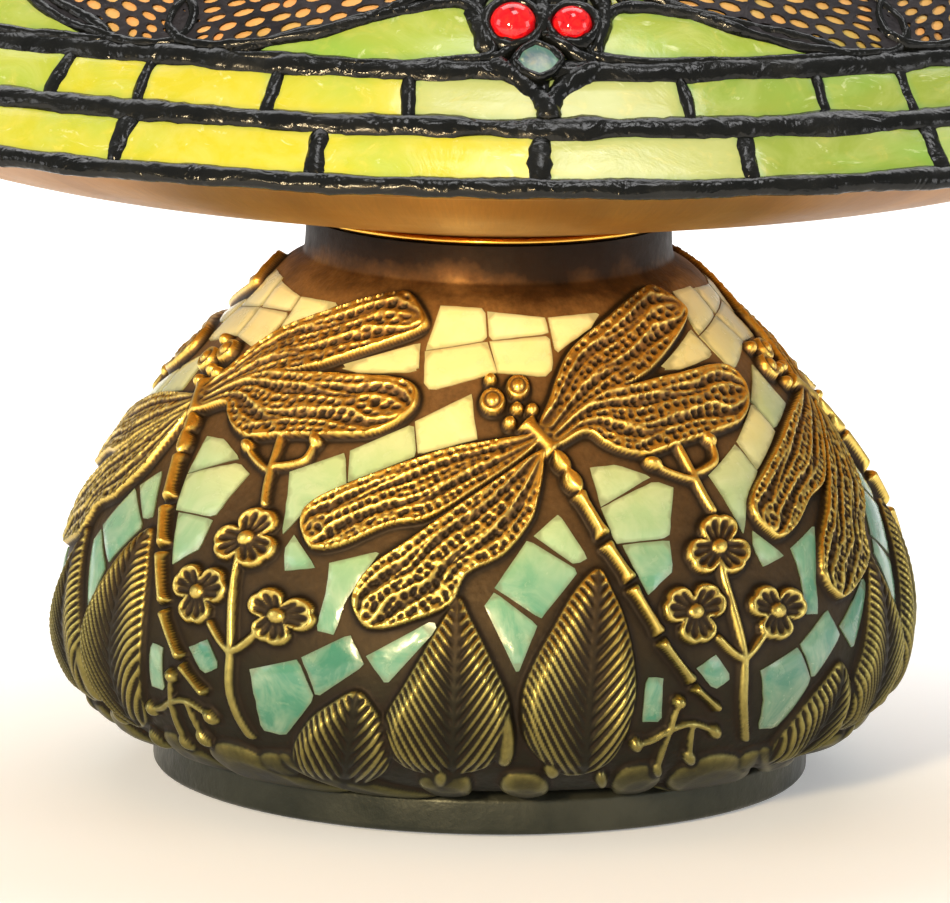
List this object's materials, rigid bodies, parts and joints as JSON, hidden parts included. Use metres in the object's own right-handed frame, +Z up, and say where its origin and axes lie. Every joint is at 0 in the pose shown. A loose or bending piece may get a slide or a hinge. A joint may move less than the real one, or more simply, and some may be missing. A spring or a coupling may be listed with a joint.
{
  "type": "table lamp",
  "caption": "Table lamp with a leaded stained glass cone shade with dragonflies, a wide satin bronze dish under it and a rounded bronze base inlaid with mosaic glass.",
  "frame": {"origin": "centre of the underside of the felt pad, on the lamp axis", "axes": "+Z up along the lamp rod, -Y towards the front, +X to the viewer's right"},
  "size_m": [0.4062, 0.4062, 0.378],
  "materials": {
    "felt": "matte",
    "brass": "satin",
    "steel": "satin",
    "cast_iron": "rough cast",
    "foot_bronze": "dark patina",
    "base_bronze": "patinated bronze",
    "mosaic_glass": "opalescent, glossy",
    "bushing": "matte",
    "gold_trim": "polished",
    "satin_bronze": "brushed satin",
    "lead": "dark patina solder",
    "border_glass": "opalescent, streaky",
    "field_glass": "opalescent, streaky",
    "filigree": "dark patina",
    "jewel_glass": "polished",
    "porcelain": "glazed",
    "bulb_glass": "frosted"
  },
  "bodies": {
    "base": {"felt_pad": "felt", "rod_nut": "brass", "rod_washer": "steel", "base_weight": "cast_iron", "foot_ring": "foot_bronze", "base_body": "base_bronze", "mosaic_inlay": "mosaic_glass", "cord_bushing": "bushing", "neck_trim_ring": "gold_trim", "saucer_dish": "satin_bronze", "lamp_rod": "brass", "saucer_nut": "brass", "column_tube": "base_bronze", "cluster_body": "base_bronze", "shade_wheel": "brass", "socket_shell_left": "brass", "socket_insulator_left": "porcelain", "bulb_base_left": "steel", "bulb_glass_left": "bulb_glass", "socket_shell_right": "brass", "socket_insulator_right": "porcelain", "bulb_base_right": "steel", "bulb_glass_right": "bulb_glass"},
    "shade": {"rim_came": "lead", "lower_border_glass": "border_glass", "border_came": "lead", "upper_border_glass": "border_glass", "band_came": "lead", "dragonfly_panel_1": "field_glass", "dragonfly_panel_2": "field_glass", "dragonfly_panel_3": "field_glass", "dragonfly_panel_4": "field_glass", "dragonfly_panel_5": "field_glass", "dragonfly_panel_6": "field_glass", "dragonfly_panel_7": "field_glass", "wing_filigree_1": "filigree", "wing_filigree_2": "filigree", "wing_filigree_3": "filigree", "wing_filigree_4": "filigree", "wing_filigree_5": "filigree", "wing_filigree_6": "filigree", "wing_filigree_7": "filigree", "dragonfly_eyes_1": "jewel_glass", "dragonfly_eyes_2": "jewel_glass", "dragonfly_eyes_3": "jewel_glass", "dragonfly_eyes_4": "jewel_glass", "dragonfly_eyes_5": "jewel_glass", "dragonfly_eyes_6": "jewel_glass", "dragonfly_eyes_7": "jewel_glass", "crown_came": "lead", "crown_glass": "border_glass", "aperture_ring": "base_bronze", "vase_cap": "base_bronze"},
    "finial_body": {"finial": "base_bronze"},
    "chain_left": {"pull_chain_left": "brass", "chain_pull_left": "brass"},
    "chain_right": {"pull_chain_right": "brass", "chain_pull_right": "brass"}
  },
  "joints": [
    {"name": "shade_turn", "type": "hinge", "parent": "base", "child": "shade", "pos_m": [0, 0, 0.3], "axis": [0, 0, 1], "continuous": true},
    {"name": "finial_turn", "type": "hinge", "parent": "base", "child": "finial_body", "pos_m": [0, 0, 0.35], "axis": [0, 0, 1], "continuous": true},
    {"name": "pull_left", "type": "slide", "parent": "base", "child": "chain_left", "axis": [0, 0, -1], "range_m": [0, 0.008], "stiffness_N_per_m": 600, "springref_m": -0.003},
    {"name": "pull_right", "type": "slide", "parent": "base", "child": "chain_right", "axis": [0, 0, -1], "range_m": [0, 0.008], "stiffness_N_per_m": 600, "springref_m": -0.003}
  ]
}
